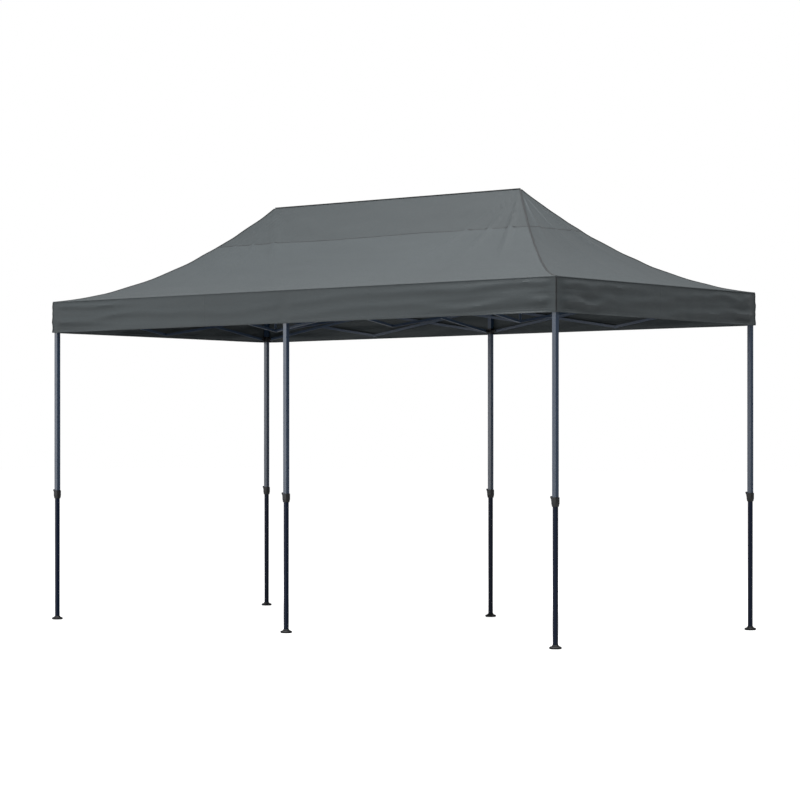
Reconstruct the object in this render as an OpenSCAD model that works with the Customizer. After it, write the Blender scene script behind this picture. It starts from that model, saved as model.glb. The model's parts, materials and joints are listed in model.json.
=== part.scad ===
// Pop-up canopy tent: six telescopic legs, a folding scissor frame, two peak
// poles and a hipped fabric canopy with a valance all round.
// Millimetres, +Z up. The long side runs along X, the front faces -Y, and the
// origin is on the ground at the middle of the six legs.

/* [Overall] */
// Side of each of the two square bays, leg centre to leg centre
bay = 2450; // [1800:10:3000]
// Height of the outer edge of the roof above the ground
eave_height = 2516; // [2000:1:2900]
// Height of the ridge above the ground
peak_height = 3279; // [3000:1:3800]
// Depth of the valance that hangs from the eave
valance_drop = 242; // [150:1:320]

/* [Canopy] */
// Thickness of the closed solid that stands for the fabric
canopy_wall = 1.5; // [1:0.5:6]
// Distance from a leg's centre to the outside of the valance
canopy_reach = 24; // [24:1:60]
// Share of the roof's rise that curves: 0 is a straight slope, 1 is flat at the eave
roof_sag = 0.8; // [0:0.05:1]
// Gap between the fabric and the frame pieces below it
canopy_gap = 1.5; // [1:0.5:10]

/* [Legs] */
// Outside of the square upper leg tube
upper_tube = 34; // [30:1:34]
// Outside of the square lower leg tube
lower_tube = 28; // [20:1:29]
// Wall of both leg tubes
tube_wall = 1.2; // [0.8:0.1:1.4]
// Height of the lower end of the upper leg tube
upper_tube_foot = 985; // [800:5:1200]
// Length of the lower tube that stays inside the upper one
tube_overlap = 260; // [150:10:400]
// Length of the leg-lock collar
collar_length = 64; // [50:1:90]
// Diameter of a foot
foot_diameter = 88; // [86:1:120]
// Height of a foot, up to the end of its socket
foot_height = 28; // [20:1:50]
// Thickness of the foot under the end of the lower tube
foot_floor = 8; // [4:1:16]
// Distance between the two stake holes of a foot
stake_spacing = 62; // [60:1:66]
// Diameter of a stake hole
stake_hole = 9; // [6:0.5:12]

/* [Scissor frame] */
// Distance from the eave down to the upper pivots
pivot_below_eave = 36; // [30:1:60]
// Height between the upper and the lower pivots with the frame open
truss_depth = 180; // [120:5:220]
// Width of a scissor bar
bar_width = 10; // [8:0.5:11]
// Depth of a scissor bar
bar_depth = 20; // [16:1:21]
// Wall of a scissor bar
bar_wall = 1; // [0.8:0.1:1.5]
// Gap between the two bars of a scissor pair
layer_gap = 3; // [2.5:0.5:4]
// Diameter of every pivot pin
pin = 8; // [6:0.5:9]
// Distance from a leg's centre to the pivots of its brackets
leg_pivot = 55; // [54:1:70]
// Distance from a cross bracket's centre to the pivot of its peak arm
arm_pivot = 30; // [29.5:0.5:31]
// Thickness of the ears of a bracket
ear = 3; // [2:0.25:3.25]
// Height of a slider on its leg
slider_height = 44; // [36:1:50]

/* [Peak poles] */
// Diameter of a peak pole
pole = 20; // [14:1:20]
// Wall of a peak pole
pole_wall = 1.2; // [0.8:0.1:2]
// Diameter of the cap that carries the ridge
pole_cap = 44; // [34:1:60]

/* [Fits] */
// Radial play of a running pivot
pin_play = 0.05; // [0.02:0.01:0.1]
// Radial play of a pivot that closes a loop of bars
loop_play = 0.3; // [0.2:0.05:0.5]
// Gap beside a bar in its fork
side_play = 0.5; // [0.3:0.1:0.6]
// Gap round a tube that slides
slide_play = 0.4; // [0.3:0.1:0.6]

/* [Hidden] */
$fn = 32;

// Heights
upper_pivot = eave_height - pivot_below_eave;
lower_pivot = upper_pivot - truss_depth;
frame_top = eave_height - canopy_wall - canopy_gap;
collar_top = upper_tube_foot + 0.62*collar_length;
collar_foot = collar_top - collar_length;

// Plan: legs stand at stations -2, 0 and 2 along X and -1 and 1 along Y
pitch = bay/2;
leg_stations = [for (j = [-1, 1], i = [-2, 0, 2]) [i, j]];
mid_stations = [for (j = [-1, 1], i = [-1, 1]) [i, j]];
pole_stations = [-1, 1];

// Scissor bars
pin_r = pin/2;
head_r = pin_r + 2.5;
head_t = 1.5;
bar_end = bar_depth/2;
layer = (bar_width + layer_gap)/2;
pair_half = layer + bar_width/2;
ear_r = bar_depth/2 - 1.5;
swing_r = norm([bar_end, bar_depth/2]);
hub_pivot = leg_pivot - arm_pivot;
bar_span = pitch - leg_pivot;
bar_angle = atan2(truss_depth, bar_span);
bar_length = norm([bar_span, truss_depth]);
tube_half = upper_tube/2;
bracket_half = tube_half + 2;
slider_half = tube_half + slide_play + 3;
end_gap = 0.6;
hub_half = hub_pivot - swing_r - end_gap;
bite = 0.5;
leg_corner = 2.5;
bar_corner = 1.5;

// How the end of a bar meets its pin
RUNNING = "running";
LOOSE = "loose";
RIVET = "rivet";

// Play of each kind of end round its pin; a rivet grips its own bar
function play_of(end) = end == LOOSE ? loop_play : end == RUNNING ? pin_play : -bite;

// Words used in the names
function side_word(j) = j < 0 ? "front" : "back";
function hand_word(i) = i < 0 ? "left" : i > 0 ? "right" : "middle";
function leg_name(s) = str(side_word(s[1]), "_", hand_word(s[0]));

// A scissor cell: [name, inner station, direction, how the ends meet their
// pins: falling outer, rising inner, rising outer]
long_cells = [for (j = [-1, 1], h = [-1, 1], outer = [0, 1])
    [str(side_word(j), "_", hand_word(h), outer ? "_outer" : "_inner"), [outer*h, j], [h, 0],
     outer ? RUNNING : RIVET, LOOSE, RUNNING]];
end_cells = [for (h = [-1, 1], j = [-1, 1])
    [str(hand_word(h), "_end_", side_word(j)), [2*h, j], [0, -j],
     j < 0 ? RIVET : LOOSE, LOOSE, j < 0 ? RIVET : LOOSE]];
middle_cells = [for (j = [-1, 1])
    [str("middle_", side_word(j)), [0, 0], [0, j], RUNNING, j < 0 ? RIVET : LOOSE, RUNNING]];
cells = concat(long_cells, end_cells, middle_cells);

// A peak arm: [name, station of its cross bracket, direction to the pole]
ridge_arms = [for (h = pole_stations) [str("peak_arm_", hand_word(h), "_inner"), [0, 0], [h, 0]]];
side_arms = [for (s = mid_stations)
    [str("peak_arm_", hand_word(s[0]), "_", side_word(s[1])), s, [0, -s[1]]]];
arms = concat(ridge_arms, side_arms);

function is_leg(s) = s[0] % 2 == 0 && s[1] != 0;
function pivot_at(s) = is_leg(s) ? leg_pivot : 0;
function heading(d) = atan2(d[1], d[0]);

// Puts children at a station, turned so that their X runs along d
module at_station(s, d = [1, 0], z = 0) {
    translate([s[0]*pitch, s[1]*pitch, z]) rotate([0, 0, heading(d)]) children();
}

// A pin along Y between two heights of y
module pin_y(r, from, to) {
    translate([0, to, 0]) rotate([90, 0, 0]) cylinder(r = r, h = to - from);
}

// A rectangle with round corners
module rounded(x, y, r) {
    square([x - 2*r, y], center = true);
    square([x, y - 2*r], center = true);
    for (i = [-1, 1], j = [-1, 1]) translate([i*(x/2 - r), j*(y/2 - r)]) circle(r = r);
}

// The section of a rolled tube
module tube_section(x, y, wall, r) {
    difference() {
        rounded(x, y, r);
        rounded(x - 2*wall, y - 2*wall, max(r - wall, wall/4));
    }
}

module leg_tube(outside, from, to) {
    translate([0, 0, from]) linear_extrude(to - from) tube_section(outside, outside, tube_wall, leg_corner);
}

/* ---- canopy ---- */

ridge_half = pitch;
long_steps = 14;
short_steps = 8;
rise_steps = 9;

// Outline of a ring, as shares of its two half sizes, anticlockwise from above
ring_plan = concat(
    [for (k = [0 : long_steps - 1]) [-1 + 2*k/long_steps, -1]],
    [for (k = [0 : short_steps - 1]) [1, -1 + 2*k/short_steps]],
    [for (k = [0 : long_steps - 1]) [1 - 2*k/long_steps, 1]],
    [for (k = [0 : short_steps - 1]) [-1, 1 - 2*k/short_steps]]
);
ring_count = len(ring_plan);

// Share of the rise reached at share u of the way from the eave to the ridge
function rise(u) = (1 - roof_sag)*u + roof_sag*u*u;
function mix(a, b, u) = a + (b - a)*u;

// One ring of the roof, the hem's ring and the ridge line, moved in and down by t
function roof_ring(u, t) =
    let (x = mix(2*pitch + canopy_reach - t, ridge_half, u),
         y = mix(pitch + canopy_reach - t, 0, u),
         z = eave_height + (peak_height - eave_height)*rise(u) - t)
    [for (p = ring_plan) [p[0]*x, p[1]*y, z]];
function hem_ring(t) =
    [for (p = ring_plan) [p[0]*(2*pitch + canopy_reach - t), p[1]*(pitch + canopy_reach - t),
                          eave_height - valance_drop]];
function ridge_line(t) = [for (k = [0 : long_steps]) [mix(-ridge_half, ridge_half, k/long_steps), 0,
                                                      peak_height - t]];
// The ridge point that the kth point of a ring runs up to
function ridge_point(k) =
    k < long_steps ? k :
    k < long_steps + short_steps ? long_steps :
    k < 2*long_steps + short_steps ? 2*long_steps + short_steps - k : 0;

module canopy() {
    rings = concat(
        [for (k = [rise_steps - 1 : -1 : 0]) roof_ring(k/rise_steps, 0)],
        [hem_ring(0), hem_ring(canopy_wall)],
        [for (k = [0 : rise_steps - 1]) roof_ring(k/rise_steps, canopy_wall)]);
    points = concat(ridge_line(0), [for (r = rings) each r], ridge_line(canopy_wall));
    last = len(rings) + 1;
    function corner(r, k) =
        r == 0 ? ridge_point(k % ring_count) :
        long_steps + 1 + (r - 1)*ring_count + (r == last ? ridge_point(k % ring_count) : k % ring_count);
    triangles = [for (r = [0 : last - 1], k = [0 : ring_count - 1])
        each [[corner(r, k), corner(r, k + 1), corner(r + 1, k + 1)],
              [corner(r, k), corner(r + 1, k + 1), corner(r + 1, k)]]];
    faces = [for (f = triangles) if (f[0] != f[1] && f[1] != f[2] && f[0] != f[2]) f];
    color("#4a5154") polyhedron(points, faces, convexity = 6);
}

/* ---- scissor bars ---- */

// The rivet of a bar: through the partner bar, which lies on the side -Y
module rivet() {
    far_head = -pair_half - side_play/2;
    translate([0, -layer, 0]) {
        pin_y(pin_r, far_head - head_t, pair_half);
        pin_y(head_r, far_head - head_t, far_head);
        pin_y(head_r, -layer_gap/2 + side_play/2, layer_gap/2);
        pin_y(head_r, pair_half, pair_half + head_t);
    }
}

// The tube of a bar along X, from one round the origin to one round its far pivot
module bar_tube() {
    rotate([90, 0, 90]) translate([0, 0, -bar_end]) linear_extrude(bar_length + 2*bar_end)
        tube_section(bar_width, bar_depth, bar_wall, bar_corner);
}

// A bar along X from its first pivot at the origin, with its partner on side
// -Y; ends says how each of its three pivots meets its pin
module bar(ends) {
    places = [0, bar_length/2, bar_length];
    difference() {
        bar_tube();
        for (k = [0 : 2]) translate([places[k], 0, 0])
            pin_y(pin_r + play_of(ends[k]), -bar_width, bar_width);
    }
    for (k = [0 : 2]) if (ends[k] == RIVET) translate([places[k], 0, 0]) rivet();
}

// The bar of a cell that falls from its inner upper pivot to its outer lower one
module falling_bar(c) {
    color("#2a3444") at_station(c[1], c[2], upper_pivot) translate([pivot_at(c[1]), layer, 0])
        rotate([0, bar_angle, 0]) bar([RUNNING, RIVET, c[3]]);
}

// The bar of a cell that rises from its inner lower pivot to its outer upper one
module rising_bar(c) {
    color("#2a3444") at_station(c[1], c[2], lower_pivot) translate([pivot_at(c[1]), -layer, 0])
        rotate([0, -bar_angle, 0]) mirror([0, 1, 0]) bar([c[4], RUNNING, c[5]]);
}

module peak_arm(a) {
    color("#2a3444") at_station(a[1], a[2], upper_pivot) translate([arm_pivot, 0, 0])
        rotate([0, bar_angle, 0]) difference() {
            bar_tube();
            pin_y(pin_r + pin_play, -bar_width, bar_width);
            translate([bar_length, 0, 0])
                pin_y(pin_r + play_of(a[1][1] == 0 ? RUNNING : LOOSE), -bar_width, bar_width);
        }
}

/* ---- brackets ---- */

// Two ears and a pin that hold one bar, from x = root out to the pivot
module fork(root, pivot, y = 0) {
    inside = bar_width/2 + side_play;
    translate([0, y, 0]) {
        for (s = [-1, 1]) translate([0, s > 0 ? inside : -inside - ear, 0]) {
            translate([root, 0, -ear_r]) cube([pivot - root, ear, 2*ear_r]);
            translate([pivot, 0, 0]) pin_y(ear_r, 0, ear);
        }
        translate([pivot, 0, 0]) pin_y(pin_r, -inside - ear - head_t, inside + ear + head_t);
    }
}

// Directions in which the scissor bars leave a leg
function truss_directions(s) = concat(
    s[0] < 2 ? [[1, 0]] : [],
    s[0] > -2 ? [[-1, 0]] : [],
    [[0, -s[1]]]);

module top_bracket(s) {
    skirt = 20;
    lid = 5;
    color("#1c1f22") {
        difference() {
            translate([0, 0, upper_pivot - skirt]) linear_extrude(frame_top - upper_pivot + skirt)
                rounded(2*bracket_half, 2*bracket_half, leg_corner);
            translate([0, 0, upper_pivot - skirt - 1])
                linear_extrude(frame_top - lid - upper_pivot + skirt + 1)
                    square(upper_tube, center = true);
        }
        for (d = truss_directions(s)) rotate([0, 0, heading(d)]) translate([0, 0, upper_pivot])
            fork(bracket_half - bite, leg_pivot, layer);
    }
}

module slider(s) {
    color("#1c1f22") at_station(s, z = lower_pivot) {
        translate([0, 0, -slider_height/2]) linear_extrude(slider_height) difference() {
            rounded(2*slider_half, 2*slider_half, leg_corner);
            square(upper_tube + 2*slide_play, center = true);
        }
        for (d = truss_directions(s)) rotate([0, 0, heading(d)])
            fork(slider_half - bite, leg_pivot, -layer);
    }
}

// A bracket astride the shared pivot of two scissor bars, with its bolt along X
// and one fork for each peak arm, towards the given sides of X
module cross_bracket(arm_sides) {
    inside = pair_half + side_play;
    half = bar_width/2 + side_play + ear;
    roof = swing_r + end_gap;
    for (s = [-1, 1]) translate([s > 0 ? inside : -inside - ear, -half, -ear_r])
        cube([ear, 2*half, roof + ear + ear_r]);
    translate([-inside - ear, -half, roof]) cube([2*(inside + ear), 2*half, ear]);
    rotate([0, 0, 90]) pin_y(pin_r, -inside - ear, inside + ear);
    for (s = arm_sides) rotate([0, 0, s > 0 ? 0 : 180]) fork(inside + ear - bite, arm_pivot);
}

module mid_bracket(s) {
    color("#1c1f22") at_station(s, [0, -s[1]], upper_pivot) cross_bracket([1]);
}

module centre_bracket() {
    color("#1c1f22") translate([0, 0, upper_pivot]) cross_bracket([-1, 1]);
}

/* ---- legs ---- */

// The leg-lock collar: a casing round the joint of the two tubes, drawn in below
module collar() {
    side = upper_tube + 9;
    neck = lower_tube + 7;
    shoulder = collar_foot + 0.35*collar_length;
    color("#16181a") difference() {
        union() {
            translate([0, 0, shoulder]) linear_extrude(collar_top - shoulder) rounded(side, side, 5);
            hull() {
                translate([0, 0, shoulder]) linear_extrude(1) rounded(side, side, 5);
                translate([0, 0, collar_foot]) linear_extrude(3) rounded(neck, neck, 3);
            }
        }
        translate([0, 0, upper_tube_foot]) linear_extrude(collar_length) square(upper_tube, center = true);
        translate([0, 0, collar_foot - 1]) linear_extrude(collar_length)
            square(lower_tube + 2*slide_play, center = true);
    }
}

// The thumb lever of the leg lock, on the collar's -X face: a hooked head that
// stands above the collar and a tail that runs down it
module lock_lever() {
    width = 24;
    head = [[0, 0], [-1, 5], [-5, 8.5], [-10, 8.5], [-14, 5], [-15, -1], [-12, -6]];
    tail = [[-8, -12], [-6, -0.4*collar_length], [0, -0.6*collar_length]];
    color("#16181a") translate([-upper_tube/2 - 4, width/2, collar_top]) rotate([90, 0, 0])
        linear_extrude(width) polygon(concat(head, tail));
}

module upper_leg(s) {
    at_station(s) {
        color("#3b4656") leg_tube(upper_tube, upper_tube_foot, frame_top - 5);
        top_bracket(s);
        collar();
        lock_lever();
    }
}

// A moulded foot: a thick round rim that draws in to the socket of the tube
module foot() {
    rim = foot_diameter/2;
    neck = lower_tube/sqrt(2) + 2;
    color("#141618") difference() {
        rotate_extrude() polygon([
            [0, 0], [rim - 6, 0], [rim, 0.22*foot_height], [rim, 0.4*foot_height],
            [rim - 5, 0.6*foot_height], [neck + 4, 0.75*foot_height], [neck, foot_height], [0, foot_height]
        ]);
        for (x = [-1, 1])
            translate([x*stake_spacing/2, 0, -1]) cylinder(d = stake_hole, h = foot_height + 2);
        translate([0, 0, foot_floor]) linear_extrude(foot_height) square(lower_tube, center = true);
    }
}

module lower_leg(s) {
    at_station(s) {
        color("#2c3542") leg_tube(lower_tube, foot_floor, upper_tube_foot + tube_overlap);
        foot();
    }
}

/* ---- peak poles ---- */

// A peak pole on its hub; the hub has a fork for each arm that reaches it, and
// the cap is a cone that keeps under the slopes of the fabric
module peak_pole(h) {
    tip = 4;
    rim = 5;
    steepness = (peak_height - eave_height)*(1 + roof_sag)/(pitch + canopy_reach - canopy_wall);
    cap_top = peak_height - canopy_wall - canopy_gap - steepness*tip;
    cone = steepness*(pole_cap/2 - tip);
    cap_foot = cap_top - cone - 2*rim;
    at_station([h, 0]) {
        color("#1c1f22") translate([0, 0, lower_pivot]) {
            translate([-hub_half, -hub_half, -swing_r]) cube([2*hub_half, 2*hub_half, 2*swing_r]);
            for (d = [[-h, 0], [0, 1], [0, -1]]) rotate([0, 0, heading(d)])
                fork(hub_half - 6*bite, hub_pivot);
        }
        color("#3b4656") translate([0, 0, lower_pivot + swing_r - bite]) difference() {
            cylinder(d = pole, h = cap_foot - lower_pivot - swing_r + 2*bite);
            translate([0, 0, -1]) cylinder(d = pole - 2*pole_wall, h = peak_height);
        }
        color("#1c1f22") translate([0, 0, cap_foot]) {
            cylinder(d1 = pole + 6, d2 = pole_cap, h = rim);
            translate([0, 0, rim]) cylinder(d = pole_cap, h = rim);
            translate([0, 0, 2*rim]) cylinder(d1 = pole_cap, d2 = 2*tip, h = cone);
        }
    }
}

/* ---- the tent ---- */

canopy();
centre_bracket();
for (s = leg_stations) {
    upper_leg(s);
    lower_leg(s);
    slider(s);
}
for (c = cells) {
    falling_bar(c);
    rising_bar(c);
}
for (s = mid_stations) mid_bracket(s);
for (a = arms) peak_arm(a);
for (h = pole_stations) peak_pole(h);
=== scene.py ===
import json
import math

import bmesh
import bpy
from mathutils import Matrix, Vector, noise

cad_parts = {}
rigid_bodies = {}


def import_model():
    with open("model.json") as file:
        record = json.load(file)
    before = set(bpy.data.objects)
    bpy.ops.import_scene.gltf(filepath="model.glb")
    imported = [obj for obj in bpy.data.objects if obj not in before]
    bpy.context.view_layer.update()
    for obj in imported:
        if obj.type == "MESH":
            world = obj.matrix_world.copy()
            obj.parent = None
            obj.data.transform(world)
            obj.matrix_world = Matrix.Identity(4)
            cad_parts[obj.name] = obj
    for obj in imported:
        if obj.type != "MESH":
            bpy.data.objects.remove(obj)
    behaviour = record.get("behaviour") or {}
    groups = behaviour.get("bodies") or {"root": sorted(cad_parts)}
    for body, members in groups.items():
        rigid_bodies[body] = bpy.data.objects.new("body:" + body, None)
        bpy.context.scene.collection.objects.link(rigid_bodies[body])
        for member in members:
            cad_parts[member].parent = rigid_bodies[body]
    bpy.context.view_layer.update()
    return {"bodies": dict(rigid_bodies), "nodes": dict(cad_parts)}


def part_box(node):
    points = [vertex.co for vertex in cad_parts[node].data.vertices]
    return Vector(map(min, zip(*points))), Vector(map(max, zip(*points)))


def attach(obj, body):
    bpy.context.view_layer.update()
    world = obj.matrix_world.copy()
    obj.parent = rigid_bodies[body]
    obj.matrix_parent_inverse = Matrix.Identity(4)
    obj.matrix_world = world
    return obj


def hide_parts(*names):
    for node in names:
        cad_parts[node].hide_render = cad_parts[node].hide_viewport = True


# A pop-up canopy tent: a sewn charcoal cover over a folding steel frame.
# Everything is in metres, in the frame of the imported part.

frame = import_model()

# ---- places read from the frame ----

LEGS = {(i, j): f"upper_leg_{side}_{hand}"
        for j, side in ((-1, "front"), (1, "back"))
        for i, hand in ((-1, "left"), (0, "middle"), (1, "right"))}
POLES = {-1: "peak_pole_left", 1: "peak_pole_right"}


def middle_of(node):
    low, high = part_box(node)
    return (low + high) / 2


def plan_centre(node):
    """The plan position of a leg's or pole's axis: its lower leg or its cap is square round it."""
    centre = middle_of(node.replace("upper_leg", "lower_leg"))
    return centre.x, centre.y


HALF_LENGTH = plan_centre(LEGS[(1, 1)])[0]
HALF_DEPTH = plan_centre(LEGS[(1, 1)])[1]
RIDGE_HALF = HALF_LENGTH / 2
CLOTH_LOW, CLOTH_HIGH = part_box("canopy")
HALF_X, HALF_Y = CLOTH_HIGH.x, CLOTH_HIGH.y
HEM_Z, RIDGE_Z = CLOTH_LOW.z, CLOTH_HIGH.z
EAVE_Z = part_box(LEGS[(1, 1)])[1].z + 0.003
RISE = RIDGE_Z - EAVE_Z
VALANCE_DROP = EAVE_Z - HEM_Z


# ---- materials ----

def new_material(name):
    material = bpy.data.materials.new(name)
    material.use_nodes = True
    tree = material.node_tree
    tree.nodes.clear()
    output = tree.nodes.new("ShaderNodeOutputMaterial")
    shader = tree.nodes.new("ShaderNodeBsdfPrincipled")
    tree.links.new(shader.outputs["BSDF"], output.inputs["Surface"])
    return material, tree, shader


def group(name, inputs, outputs):
    """A new shader node group, with (name, kind, default) inputs and (name, kind) outputs."""
    tree = bpy.data.node_groups.new(name, "ShaderNodeTree")
    for label, kind, value in inputs:
        socket = tree.interface.new_socket(label, in_out="INPUT", socket_type=kind)
        socket.default_value = value
    for label, kind in outputs:
        tree.interface.new_socket(label, in_out="OUTPUT", socket_type=kind)
    return tree, tree.nodes.new("NodeGroupInput"), tree.nodes.new("NodeGroupOutput")


def place(tree, node_group, values=()):
    node = tree.nodes.new("ShaderNodeGroup")
    node.node_tree = node_group
    for label, value in dict(values).items():
        node.inputs[label].default_value = value
    return node


def maths(tree, operation, first, second=None):
    node = tree.nodes.new("ShaderNodeMath")
    node.operation = operation
    for socket, value in zip(node.inputs, (first, second)):
        if value is None:
            continue
        if isinstance(value, (int, float)):
            socket.default_value = value
        else:
            tree.links.new(value, socket)
    return node.outputs[0]


def mix_colour(tree, share, low, high, blend="MIX"):
    node = tree.nodes.new("ShaderNodeMix")
    node.data_type = "RGBA"
    node.blend_type = blend
    for socket, value in ((node.inputs[0], share), (node.inputs[6], low), (node.inputs[7], high)):
        if isinstance(value, bpy.types.NodeSocket):
            tree.links.new(value, socket)
        else:
            socket.default_value = value
    return node.outputs[2]


FLOAT, VECTOR = "NodeSocketFloat", "NodeSocketVector"


def weave_group():
    """Plain weave in the cloth's own coordinates: crossing threads as a height."""
    tree, start, end = group(
        "Plain weave",
        [("Vector", VECTOR, (0, 0, 0)), ("Threads per metre", FLOAT, 900.0)],
        [("Height", FLOAT)])
    split = tree.nodes.new("ShaderNodeSeparateXYZ")
    tree.links.new(start.outputs["Vector"], split.inputs[0])
    turns = maths(tree, "MULTIPLY", start.outputs["Threads per metre"], 2 * math.pi)
    warp = maths(tree, "SINE", maths(tree, "MULTIPLY", split.outputs[0], turns))
    weft = maths(tree, "SINE", maths(tree, "MULTIPLY", split.outputs[1], turns))
    both = maths(tree, "MULTIPLY", warp, weft)
    height = maths(tree, "ADD", maths(tree, "MULTIPLY", both, 0.5), 0.5)
    tree.links.new(height, end.inputs["Height"])
    return tree


def blotch_group():
    """Slow and fine variation of tone, as a factor round 1."""
    tree, start, end = group(
        "Tone variation",
        [("Vector", VECTOR, (0, 0, 0)), ("Slow scale", FLOAT, 1.3), ("Fine scale", FLOAT, 60.0),
         ("Amount", FLOAT, 0.12)],
        [("Factor", FLOAT), ("Fine", FLOAT)])
    slow = tree.nodes.new("ShaderNodeTexNoise")
    fine = tree.nodes.new("ShaderNodeTexNoise")
    for node, label in ((slow, "Slow scale"), (fine, "Fine scale")):
        node.inputs["Detail"].default_value = 4.0
        tree.links.new(start.outputs["Vector"], node.inputs["Vector"])
        tree.links.new(start.outputs[label], node.inputs["Scale"])
    both = maths(tree, "ADD", maths(tree, "MULTIPLY", slow.outputs["Fac"], 0.7),
                 maths(tree, "MULTIPLY", fine.outputs["Fac"], 0.3))
    swing = maths(tree, "MULTIPLY", maths(tree, "SUBTRACT", both, 0.5), start.outputs["Amount"])
    tree.links.new(maths(tree, "ADD", maths(tree, "MULTIPLY", swing, 2.0), 1.0), end.inputs["Factor"])
    tree.links.new(fine.outputs["Fac"], end.inputs["Fine"])
    return tree


def stitch_group():
    """Two rows of stitches along a tape: x runs across it and y along it, in metres."""
    tree, start, end = group(
        "Stitch rows",
        [("Vector", VECTOR, (0, 0, 0)), ("Row offset", FLOAT, 0.004), ("Stitch length", FLOAT, 0.007)],
        [("Thread", FLOAT)])
    split = tree.nodes.new("ShaderNodeSeparateXYZ")
    tree.links.new(start.outputs["Vector"], split.inputs[0])
    aside = maths(tree, "ABSOLUTE", split.outputs[0])
    gap = maths(tree, "ABSOLUTE", maths(tree, "SUBTRACT", aside, start.outputs["Row offset"]))
    on_row = maths(tree, "LESS_THAN", gap, 0.0007)
    turn = maths(tree, "FRACT", maths(tree, "DIVIDE", split.outputs[1], start.outputs["Stitch length"]))
    in_stitch = maths(tree, "LESS_THAN", turn, 0.7)
    tree.links.new(maths(tree, "MULTIPLY", on_row, in_stitch), end.inputs["Thread"])
    return tree


WEAVE = weave_group()
STITCH = stitch_group()
BLOTCH = blotch_group()


def bump(tree, shader, height, strength, distance):
    node = tree.nodes.new("ShaderNodeBump")
    node.inputs["Strength"].default_value = strength
    node.inputs["Distance"].default_value = distance
    tree.links.new(height, node.inputs["Height"])
    tree.links.new(node.outputs["Normal"], shader.inputs["Normal"])


def tinted(tree, colour, factor):
    """The colour multiplied by a factor that varies over the surface."""
    grey = tree.nodes.new("ShaderNodeCombineColor")
    for socket in grey.inputs:
        tree.links.new(factor, socket)
    return mix_colour(tree, 1.0, colour, grey.outputs[0], "MULTIPLY")


THREAD = (0.040, 0.046, 0.050, 1)


def cloth_material(name, colour, roughness=0.62, threads=700.0, stitch_row=None):
    """Coated woven polyester: weave from the piece's UV map, tone from its place.

    stitch_row is the distance of the stitches from the middle of a tape."""
    material, tree, shader = new_material(name)
    uv = tree.nodes.new("ShaderNodeUVMap")
    uv.uv_map = "cloth"
    place_of = tree.nodes.new("ShaderNodeTexCoord")
    weave = place(tree, WEAVE, {"Threads per metre": threads})
    tree.links.new(uv.outputs["UV"], weave.inputs["Vector"])
    tone = place(tree, BLOTCH, {"Slow scale": 1.1, "Fine scale": 38.0, "Amount": 0.16})
    tree.links.new(place_of.outputs["Object"], tone.inputs["Vector"])
    # The weave's height also tints the colour: painted shade in the hollows between the threads and painted
    # light on their tops.
    lift = maths(tree, "ADD", maths(tree, "MULTIPLY", weave.outputs["Height"], 0.10), 0.95)
    factor = maths(tree, "MULTIPLY", tone.outputs["Factor"], lift)
    shown = tinted(tree, colour, factor)
    height = maths(tree, "ADD", weave.outputs["Height"],
                   maths(tree, "MULTIPLY", tone.outputs["Fine"], 1.6))
    if stitch_row:
        stitches = place(tree, STITCH, {"Row offset": stitch_row})
        tree.links.new(uv.outputs["UV"], stitches.inputs["Vector"])
        shown = mix_colour(tree, stitches.outputs["Thread"], shown, THREAD)
        height = maths(tree, "ADD", height, stitches.outputs["Thread"])
    tree.links.new(shown, shader.inputs["Base Color"])
    rough = maths(tree, "ADD", maths(tree, "MULTIPLY", tone.outputs["Fine"], 0.16), roughness - 0.08)
    tree.links.new(rough, shader.inputs["Roughness"])
    shader.inputs["Sheen Weight"].default_value = 0.12
    shader.inputs["Sheen Roughness"].default_value = 0.5
    bump(tree, shader, height, 0.35, 0.0006)
    return material


def paint_material(name, colour, gloss):
    """Powder coat with a fine grain; gloss sets its shine."""
    material, tree, shader = new_material(name)
    place_of = tree.nodes.new("ShaderNodeTexCoord")
    tone = place(tree, BLOTCH, {"Slow scale": 3.0, "Fine scale": 420.0, "Amount": 0.10})
    tree.links.new(place_of.outputs["Object"], tone.inputs["Vector"])
    tree.links.new(tinted(tree, colour, tone.outputs["Factor"]), shader.inputs["Base Color"])
    rough = maths(tree, "ADD", maths(tree, "MULTIPLY", tone.outputs["Fine"], 0.10), 0.37)
    tree.links.new(rough, shader.inputs["Roughness"])
    shader.inputs["Specular IOR Level"].default_value = 0.14 + 0.8 * gloss
    shader.inputs["Coat Weight"].default_value = gloss
    shader.inputs["Coat Roughness"].default_value = 0.3
    bump(tree, shader, tone.outputs["Fine"], 0.03, 0.0002)
    return material


def plastic_material(name, colour, roughness=0.5):
    """Moulded black plastic with a fine spark-eroded grain."""
    material, tree, shader = new_material(name)
    place_of = tree.nodes.new("ShaderNodeTexCoord")
    tone = place(tree, BLOTCH, {"Slow scale": 14.0, "Fine scale": 900.0, "Amount": 0.25})
    tree.links.new(place_of.outputs["Object"], tone.inputs["Vector"])
    tree.links.new(tinted(tree, colour, tone.outputs["Factor"]), shader.inputs["Base Color"])
    rough = maths(tree, "ADD", maths(tree, "MULTIPLY", tone.outputs["Fine"], 0.2), roughness - 0.1)
    tree.links.new(rough, shader.inputs["Roughness"])
    bump(tree, shader, tone.outputs["Fine"], 0.3, 0.0002)
    return material


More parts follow.
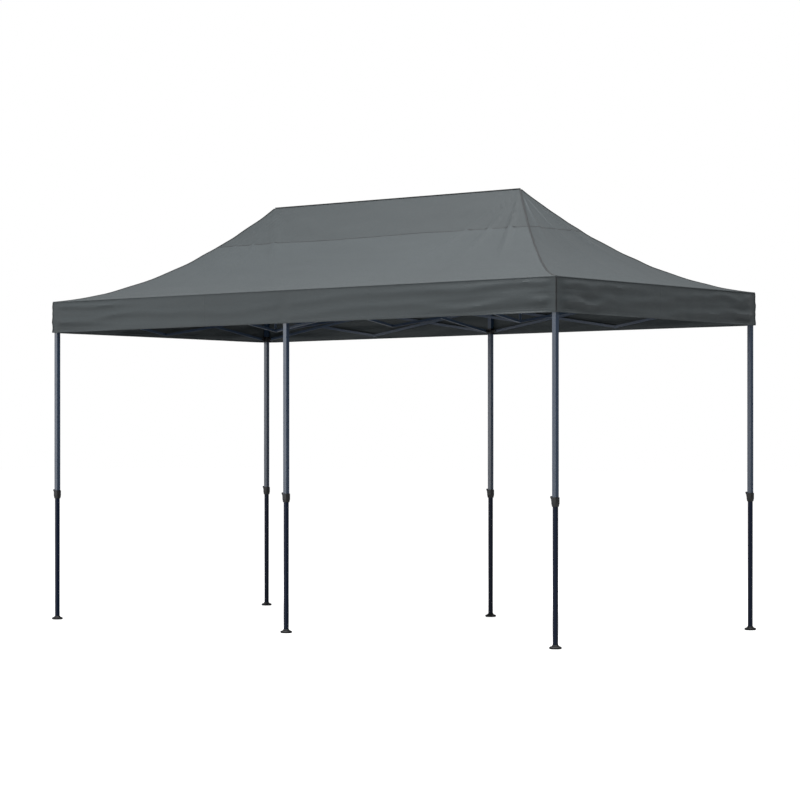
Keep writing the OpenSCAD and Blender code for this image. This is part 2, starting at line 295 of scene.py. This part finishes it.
CHARCOAL = (0.046, 0.058, 0.063, 1)
# A darker charcoal for the long slopes above the upper panel seam: painted shade, where the steeper cloth
# turns from the light.
UPPER_SHADE_CHARCOAL = (0.037, 0.047, 0.051, 1)
# A darker charcoal for the seam tape and the corner piping: painted shade, standing for the shadow along
# the welted seams.
SEAM_SHADE_CHARCOAL = (0.012, 0.015, 0.017, 1)
CLOTH = cloth_material("Charcoal polyester", CHARCOAL)
UPPER_SHADE_CLOTH = cloth_material("Upper slope painted shade", UPPER_SHADE_CHARCOAL)
HEM_BAND = cloth_material("Hem band", CHARCOAL, stitch_row=0.010)
PANEL_TAPE = cloth_material("Panel seam", CHARCOAL, stitch_row=0.0040)
SEAM = cloth_material("Seam tape", SEAM_SHADE_CHARCOAL, threads=500.0, stitch_row=0.0042)
PIPING = cloth_material("Piping", SEAM_SHADE_CHARCOAL, threads=500.0)
PAINT = paint_material("Frame paint", (0.013, 0.036, 0.078, 1), 0.6)
LOWER_PAINT = paint_material("Lower tube paint", (0.003, 0.009, 0.028, 1), 0.0)
PLASTIC = plastic_material("Black plastic", (0.010, 0.011, 0.013, 1))


# ---- the cover's surface ----

# A plan share past ON_EDGE lies on the eave.
ON_EDGE = 0.999999
SAG = 0.8


def mix(a, b, share):
    return a + (b - a) * share


def smooth(low, high, value):
    share = min(1.0, max(0.0, (value - low) / (high - low)))
    return share * share * (3 - 2 * share)


def rise_at(share):
    return (1 - SAG) * share + SAG * share * share


def leg_distance(x, y):
    return min(math.hypot(x - i * HALF_LENGTH, y - j * HALF_DEPTH) for i, j in LEGS)


def roof_point(px, py, share):
    """The bare roof at plan share (px, py) of the outline, share of the way up to the ridge."""
    return Vector((px * mix(HALF_X, RIDGE_HALF, share), py * mix(HALF_Y, 0.0, share),
                   EAVE_Z + RISE * rise_at(share)))


def roof_normal(px, py, share):
    step = 1e-3
    low, high = max(0.0, share - step), min(0.998, share + step)
    up = roof_point(px, py, high) - roof_point(px, py, low)
    if abs(py) >= abs(px):
        along = Vector((1 if py < 0 else -1, 0, 0))
    else:
        along = Vector((0, 1 if px > 0 else -1, 0))
    return along.cross(up).normalized()


def slow_wave(x, y, scale, seed):
    return noise.noise(Vector((x * scale, y * scale, seed)))


def peak_folds(place):
    """Tension folds that fan out of the two ends of the ridge."""
    total = 0.0
    for end in (-1, 1):
        dx, dy = place.x - end * RIDGE_HALF, place.y
        reach = math.hypot(dx, dy)
        if reach < 1e-4:
            continue
        angle = math.atan2(dy, dx)
        off_ridge = abs(dy) / reach + max(0.0, end * dx / reach)
        fade = smooth(0.03, 0.14, reach) * (1 - smooth(0.25, 1.0, reach)) * smooth(0.1, 0.5, off_ridge)
        fan = math.sin(angle * 11 + 1.3 * end) * 0.6 + math.sin(angle * 23 + 2.1) * 0.4
        ridged = max(0.0, fan) ** 2
        spread = noise.noise(Vector((dx / reach * 1.7, dy / reach * 1.7, 3.0 * end)))
        total += fade * ridged * (0.6 + 0.8 * spread)
    return total


def roof_relief(place, share):
    """How far the cloth stands off the bare roof: slow sag, fine creases and folds."""
    free = smooth(0.05, 0.32, leg_distance(place.x, place.y)) * smooth(0.0, 0.06, share)
    slow = slow_wave(place.x, place.y, 1.1, 3.0) * 0.010
    crease = slow_wave(place.x * 0.5 + place.y, place.y * 1.6, 4.2, 9.0) * 0.0045
    ripple = math.sin(place.y * 42 + slow_wave(place.x, place.y, 1.7, 5.0) * 7) * 0.0010 * smooth(
        0.35, 0.75, share)
    ridge_hold = 1 - smooth(0.93, 1.0, share)
    return free * ridge_hold * (slow + crease + ripple) + 0.016 * peak_folds(place) * ridge_hold


def valance_relief(run, drop, corner_gap, post_gap):
    """Outward drape of the valance: long level folds that gather at the corners.

    run is the distance along the side, drop the share of the way down, corner_gap
    the distance to the nearest corner and post_gap to the nearest leg."""
    hang = smooth(0.0, 0.25, drop)
    near = math.exp(-corner_gap / 0.75)
    drift = slow_wave(run, drop, 0.8, 1.0) * 1.6 + run * 0.35
    folds = (math.sin(drop * 13.5 + drift * 2.0) * 0.5 + 0.5) ** 2 * (0.35 + 1.6 * near)
    fan = (math.sin(drop * 21 - corner_gap * 3.1) * 0.5 + 0.5) ** 3 * near
    waves = 0.5 + 0.5 * slow_wave(run, drop * 0.4, 1.9, 7.0)
    return hang * (0.009 * folds + 0.012 * fan + 0.005 * waves) * smooth(0.0, 0.09, post_gap)


def valance_bulge(px, py, drop):
    """How far the valance stands out at an outline place, a share of the way down."""
    long_side = abs(py) > ON_EDGE
    along, half = (px * HALF_X, HALF_X) if long_side else (py * HALF_Y, HALF_Y)
    posts = (-HALF_LENGTH, 0.0, HALF_LENGTH) if long_side else (-HALF_DEPTH, HALF_DEPTH)
    post_gap = min(abs(along - post) for post in posts)
    return valance_relief(along + 3 * px + 5 * py, drop, half - abs(along), post_gap)


# ---- meshes ----

def link(name, mesh):
    piece = bpy.data.objects.new(name, mesh)
    bpy.context.scene.collection.objects.link(piece)
    return piece


def only(piece):
    bpy.ops.object.select_all(action="DESELECT")
    piece.select_set(True)
    bpy.context.view_layer.objects.active = piece


def solidify(piece, thickness, offset=1.0):
    only(piece)
    modifier = piece.modifiers.new("Thickness", "SOLIDIFY")
    modifier.thickness = thickness
    modifier.offset = offset
    modifier.use_even_offset = False
    bpy.ops.object.modifier_apply(modifier=modifier.name)


def shade(piece, degrees=35):
    only(piece)
    bpy.ops.object.shade_smooth_by_angle(angle=math.radians(degrees))


LONG_STEPS, SHORT_STEPS = 168, 84
ROOF_STEPS, DROP_STEPS = 52, 16
# Rows of the roof are closer near the eave by ROW_SPREAD; the row set below holds the upper panel seam, and
# from it up to the ridge the long slopes are coloured darker, painted shade for the steeper cloth.
ROW_SPREAD = 1.15
PANEL_SEAM_ROW = 40


def outline():
    """Plan shares round the eave, anticlockwise."""
    points = []
    corners = ((-1, -1), (1, -1), (1, 1), (-1, 1))
    for side, (start, stop) in enumerate(zip(corners, corners[1:] + corners[:1])):
        steps = LONG_STEPS if side % 2 == 0 else SHORT_STEPS
        for k in range(steps):
            points.append((mix(start[0], stop[0], k / steps), mix(start[1], stop[1], k / steps)))
    return points


OUTLINE = outline()


def outward(px, py):
    """The outward direction of the valance in plan, on the diagonal at a corner point."""
    x_part = math.copysign(1, px) if abs(px) > ON_EDGE else 0
    y_part = math.copysign(1, py) if abs(py) > ON_EDGE else 0
    return Vector((x_part, y_part, 0)).normalized()


def cover_columns():
    """For each outline point, its column of points from the hem up to the ridge, with cloth coordinates."""
    columns, flats = [], []
    for px, py in OUTLINE:
        along = px * HALF_X if abs(py) > ON_EDGE else py * HALF_Y
        out = outward(px, py)
        column, flat, run = [], [], 0.0
        for k in range(DROP_STEPS):
            drop = 1 - k / DROP_STEPS
            point = Vector((px * HALF_X, py * HALF_Y, EAVE_Z - VALANCE_DROP * drop))
            point = point + out * valance_bulge(px, py, drop)
            column.append(point)
        for k in range(ROOF_STEPS):
            share = (k / ROOF_STEPS) ** ROW_SPREAD
            point = roof_point(px, py, share)
            if k:
                point = point + roof_normal(px, py, share) * roof_relief(point, share)
            column.append(point)
        column.append(roof_point(px, py, 1.0))
        for k, point in enumerate(column):
            run += (point - column[k - 1]).length if k else 0.0
            flat.append((along, run))
        columns.append(column)
        flats.append(flat)
    return columns, flats


def ridge_key(k):
    """Outline points that meet at the same place of the ridge line share a key."""
    k %= len(OUTLINE)
    return round(OUTLINE[k][0] * 1e6)


def build_cover():
    columns, flats = cover_columns()
    rows, count = len(columns[0]), len(columns)
    points, index = [], {}
    for k in range(count):
        for r in range(rows - 1):
            index[(k, r)] = len(points)
            points.append(columns[k][r])
    ridge = {}
    for k in range(count):
        key = ridge_key(k)
        if key not in ridge:
            ridge[key] = len(points)
            points.append(columns[k][-1])
        index[(k, rows - 1)] = ridge[key]
    faces, uvs, upper = [], [], []
    for k in range(count):
        following = (k + 1) % count
        slope = abs(OUTLINE[k][1]) > ON_EDGE and abs(OUTLINE[following][1]) > ON_EDGE
        for r in range(rows - 1):
            corners = [(k, r), (following, r), (following, r + 1), (k, r + 1)]
            face, uv = [], []
            for place_k, place_r in corners:
                vertex = index[(place_k, place_r)]
                if vertex not in face:
                    face.append(vertex)
                    along, run = flats[place_k][place_r]
                    uv.append((along, run))
            if len(face) > 2:
                faces.append(face)
                uvs.append(uv)
                # Faces of the long slopes above the panel seam take the darker colour: painted shade.
                upper.append(slope and r >= DROP_STEPS + PANEL_SEAM_ROW)
    mesh = bpy.data.meshes.new("canopy_cover")
    mesh.from_pydata(points, [], faces)
    layer = mesh.uv_layers.new(name="cloth")
    loop = 0
    for uv in uvs:
        for pair in uv:
            layer.data[loop].uv = pair
            loop += 1
    mesh.materials.append(CLOTH)
    mesh.materials.append(UPPER_SHADE_CLOTH)
    for face, is_upper in zip(mesh.polygons, upper):
        face.material_index = 1 if is_upper else 0
    mesh.validate()
    return link("canopy_cover", mesh)


def strip(name, path, outs, width, height, material, closed=False):
    """A sewn tape or piping: a low rounded section swept along path, standing off along outs."""
    section = [(-0.5, 0.0), (-0.38, 0.7), (-0.15, 1.0), (0.15, 1.0), (0.38, 0.7), (0.5, 0.0)]
    points, faces, uvs, run = [], [], [], 0.0
    count = len(path)
    for k, (here, out) in enumerate(zip(path, outs)):
        before, after = path[max(0, k - 1)], path[min(count - 1, k + 1)]
        if closed:
            before, after = path[k - 1], path[(k + 1) % count]
        forward = (after - before).normalized()
        across = forward.cross(out).normalized()
        run += (here - path[k - 1]).length if k else 0.0
        for a, h in section:
            points.append(here + across * (a * width) + out * (h * height - 0.0004))
            uvs.append((a * width, run))
    n = len(section)
    spans = count if closed else count - 1
    for k in range(spans):
        base, following = k * n, ((k + 1) % count) * n
        for s in range(n):
            t = (s + 1) % n
            faces.append((base + s, base + t, following + t, following + s))
    if not closed:
        faces.append(tuple(range(n))[::-1])
        faces.append(tuple((count - 1) * n + s for s in range(n)))
    mesh = bpy.data.meshes.new(name)
    mesh.from_pydata(points, [], faces)
    layer = mesh.uv_layers.new(name="cloth")
    for polygon in mesh.polygons:
        for loop in polygon.loop_indices:
            layer.data[loop].uv = uvs[mesh.loops[loop].vertex_index]
    mesh.materials.append(material)
    piece = link(name, mesh)
    only(piece)
    bpy.ops.object.mode_set(mode="EDIT")
    bpy.ops.mesh.select_all(action="SELECT")
    bpy.ops.mesh.normals_make_consistent(inside=False)
    bpy.ops.object.mode_set(mode="OBJECT")
    shade(piece, 50)
    return piece


# ---- how the cover follows the folding frame ----

def cover_shares(place):
    """Shares of the six legs and two poles that carry a point of the cover."""
    x = min(1.0, max(-1.0, place.x / HALF_LENGTH))
    y = min(1.0, max(-1.0, place.y / HALF_DEPTH))
    hat = {-1: max(0.0, -x), 0: 1 - abs(x), 1: max(0.0, x)}
    to_back = (1 + y) / 2
    height = min(1.0, max(0.0, (place.z - EAVE_Z) / RISE))
    dip = 0.45 * height
    shares = {}
    for (i, j), node in LEGS.items():
        shares[node] = (1 - dip) * hat[i] * (to_back if j > 0 else 1 - to_back)
    right = min(1.0, max(0.0, (place.x + RIDGE_HALF) / (2 * RIDGE_HALF)))
    shares[POLES[1]] = dip * right
    shares[POLES[-1]] = dip * (1 - right)
    return shares


def follow_frame(piece):
    """Rides the piece on the centre and draws each point of it along with the legs and poles."""
    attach(piece, "centre")
    groups = {}
    for node in list(LEGS.values()) + list(POLES.values()):
        groups[node] = piece.vertex_groups.new(name=node)
    for vertex in piece.data.vertices:
        for node, share in cover_shares(vertex.co).items():
            if share > 1e-4:
                groups[node].add([vertex.index], share, "REPLACE")
    for node in groups:
        modifier = piece.modifiers.new("Follow " + node, "HOOK")
        modifier.object = frame["bodies"][node]
        modifier.vertex_group = node
        modifier.falloff_type = "NONE"
        modifier.strength = 1.0
    return piece


# ---- the cover and its seams ----

cover = build_cover()
CLOTH_THICKNESS = 0.0008
solidify(cover, CLOTH_THICKNESS)
shade(cover, 40)


def seam_path(px, py, low, high, steps, lift=0.0):
    """A line up the roof at one plan share of the outline."""
    path, outs = [], []
    for k in range(steps + 1):
        share = mix(low, high, k / steps)
        bare = roof_point(px, py, share)
        if abs(px) > 0.999 and abs(py) > 0.999:
            one = roof_normal(px * 0.99, py, share)
            other = roof_normal(px, py * 0.99, share)
            out = (one + other).normalized()
        else:
            out = roof_normal(px, py, share)
        path.append(bare + out * (roof_relief(bare, share) + lift))
        outs.append(out)
    return path, outs


seams = []
for px, side in ((-1, "left"), (1, "right")):
    for py, end in ((-1, "front"), (1, "back")):
        path, outs = seam_path(px, py, 0.0, 0.995, 90, 0.0008)
        seams.append(strip(f"hip_seam_{end}_{side}", path, outs, 0.014, 0.0045, SEAM))

ridge_path = [Vector((mix(-RIDGE_HALF, RIDGE_HALF, k / 60), 0, RIDGE_Z + 0.0006)) for k in range(61)]
seams.append(strip("ridge_seam", ridge_path, [Vector((0, 0, 1))] * 61, 0.016, 0.004, SEAM))


def ring_strip(name, share, width, height):
    path, outs = [], []
    for px, py in OUTLINE[::2]:
        bare = roof_point(px, py, share)
        out = roof_normal(px, py, share)
        path.append(bare + out * (roof_relief(bare, share) + 0.0008))
        outs.append(out)
    return strip(name, path, outs, width, height, SEAM, closed=True)


seams.append(ring_strip("upper_panel_seam", (PANEL_SEAM_ROW / ROOF_STEPS) ** ROW_SPREAD, 0.010, 0.0014))


def eave_strip():
    path, outs = [], []
    for px, py in OUTLINE:
        out = (outward(px, py) + Vector((0, 0, 1))).normalized()
        path.append(Vector((px * HALF_X, py * HALF_Y, EAVE_Z)) + out * 0.0006)
        outs.append(out)
    return strip("eave_piping", path, outs, 0.010, 0.0030, CLOTH, closed=True)


def hem_strip():
    path, outs = [], []
    for px, py in OUTLINE:
        bulge = valance_bulge(px, py, 1 - 0.013 / VALANCE_DROP)
        path.append(Vector((px * HALF_X, py * HALF_Y, HEM_Z + 0.013)) + outward(px, py) * (bulge + 0.0008))
        outs.append(outward(px, py))
    return strip("hem", path, outs, 0.026, 0.0012, HEM_BAND, closed=True)


def valance_seam(name, px, py, width, material, height=0.0012):
    path, outs = [], []
    out = outward(px, py)
    for k in range(25):
        drop = mix(0.02, 0.99, k / 24)
        edge = Vector((px * HALF_X, py * HALF_Y, EAVE_Z - VALANCE_DROP * drop))
        path.append(edge + out * (valance_bulge(px, py, drop) + 0.0010))
        outs.append(out)
    return strip(name, path, outs, width, height, material)


PANEL_SEAM = 0.81 / HALF_X
for py, end in ((-1, "front"), (1, "back")):
    for px, side in ((-PANEL_SEAM, "left"), (PANEL_SEAM, "right")):
        seams.append(valance_seam(f"valance_seam_{end}_{side}", px, py, 0.012, PANEL_TAPE, 0.0007))
    for px, side in ((-1, "left"), (1, "right")):
        seams.append(valance_seam(f"corner_seam_{end}_{side}", px, py, 0.012, PIPING, 0.0035))
for px, side in ((-1, "left"), (1, "right")):
    seams.append(valance_seam(f"valance_seam_{side}", px, 0.0, 0.012, PANEL_TAPE, 0.0007))


seams.append(eave_strip())
hem = hem_strip()
for piece in [cover, hem] + seams:
    follow_frame(piece)
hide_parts("canopy")


# ---- the frame's finishes ----

# Sides of the square tubes, by which a leg's tube faces are told from its moulded pieces.
UPPER_TUBE, LOWER_TUBE = 0.034, 0.028
FACE_SLACK = 0.0002


def paint_all(node, material):
    mesh = frame["nodes"][node].data
    mesh.materials.clear()
    mesh.materials.append(material)


def paint_leg(node, tube_half, tube, rest):
    """A leg node's tube in one finish and its moulded pieces in another."""
    mesh = frame["nodes"][node].data
    mesh.materials.clear()
    mesh.materials.append(tube)
    mesh.materials.append(rest)
    x, y = plan_centre(node)
    for face in mesh.polygons:
        corners = [mesh.vertices[v].co for v in face.vertices]
        reach = max(max(abs(corner.x - x), abs(corner.y - y)) for corner in corners)
        face.material_index = 0 if reach < tube_half + FACE_SLACK else 1


for node in frame["nodes"]:
    if node.startswith("upper_leg"):
        paint_leg(node, UPPER_TUBE / 2, PAINT, PLASTIC)
    elif node.startswith("lower_leg"):
        paint_leg(node, LOWER_TUBE / 2, LOWER_PAINT, PLASTIC)
    elif node.startswith("slider") or "bracket" in node:
        paint_all(node, PLASTIC)
    else:
        paint_all(node, PAINT)


# ---- stage ----

FILL = 0.22


def floor():
    """A pale floor; a little glow towards the camera keeps its far edge out of sight."""
    bpy.ops.object.select_all(action="DESELECT")
    bpy.ops.mesh.primitive_plane_add(size=240, location=(0, 0, -0.0005))
    piece = bpy.context.active_object
    piece.name = "floor"
    material, tree, shader = new_material("Pale floor")
    shader.inputs["Base Color"].default_value = (0.62, 0.62, 0.62, 1)
    shader.inputs["Roughness"].default_value = 0.95
    shader.inputs["Specular IOR Level"].default_value = 0.0
    ray = tree.nodes.new("ShaderNodeLightPath")
    shader.inputs["Emission Color"].default_value = (1, 1, 1, 1)
    glow = maths(tree, "MULTIPLY", ray.outputs["Is Camera Ray"], 0.9)
    tree.links.new(glow, shader.inputs["Emission Strength"])
    piece.data.materials.append(material)


def area_light(name, place, target, wide, tall, power, colour=(1, 1, 1)):
    light = bpy.data.lights.new(name, "AREA")
    light.shape = "RECTANGLE"
    light.size = wide
    light.size_y = tall
    light.energy = power
    light.color = colour
    lamp = bpy.data.objects.new(name, light)
    bpy.context.scene.collection.objects.link(lamp)
    lamp.location = place
    lamp.rotation_euler = (Vector(target) - Vector(place)).to_track_quat("-Z", "Y").to_euler()


def world():
    """White behind the tent, and a dimmer even light all round it."""
    sky = bpy.data.worlds.new("Studio")
    sky.use_nodes = True
    tree = sky.node_tree
    background = tree.nodes["Background"]
    ray = tree.nodes.new("ShaderNodeLightPath")
    background.inputs["Color"].default_value = (1, 1, 1, 1)
    glow = maths(tree, "MULTIPLY", ray.outputs["Is Camera Ray"], 1.0 - FILL)
    tree.links.new(maths(tree, "ADD", glow, FILL), background.inputs["Strength"])
    bpy.context.scene.world = sky


def camera():
    lens = bpy.data.cameras.new("Camera")
    lens.lens = 118.47
    lens.sensor_width = 36
    lens.shift_y = 0.0627
    eye = bpy.data.objects.new("Camera", lens)
    bpy.context.scene.collection.objects.link(eye)
    eye.location = (12.998, -15.561, 1.343)
    eye.rotation_euler = (math.radians(90), 0, 0.6933)
    lens.clip_end = 400
    bpy.context.scene.camera = eye


floor()
world()
area_light("Overhead", (1.5, -2.5, 10), (0, 0, 1), 12, 9, 1450)
area_light("Front left", (-11, -13, 3.2), (0, 0, 1.4), 9, 6, 560)
camera()
bpy.context.scene.view_settings.view_transform = "Standard"
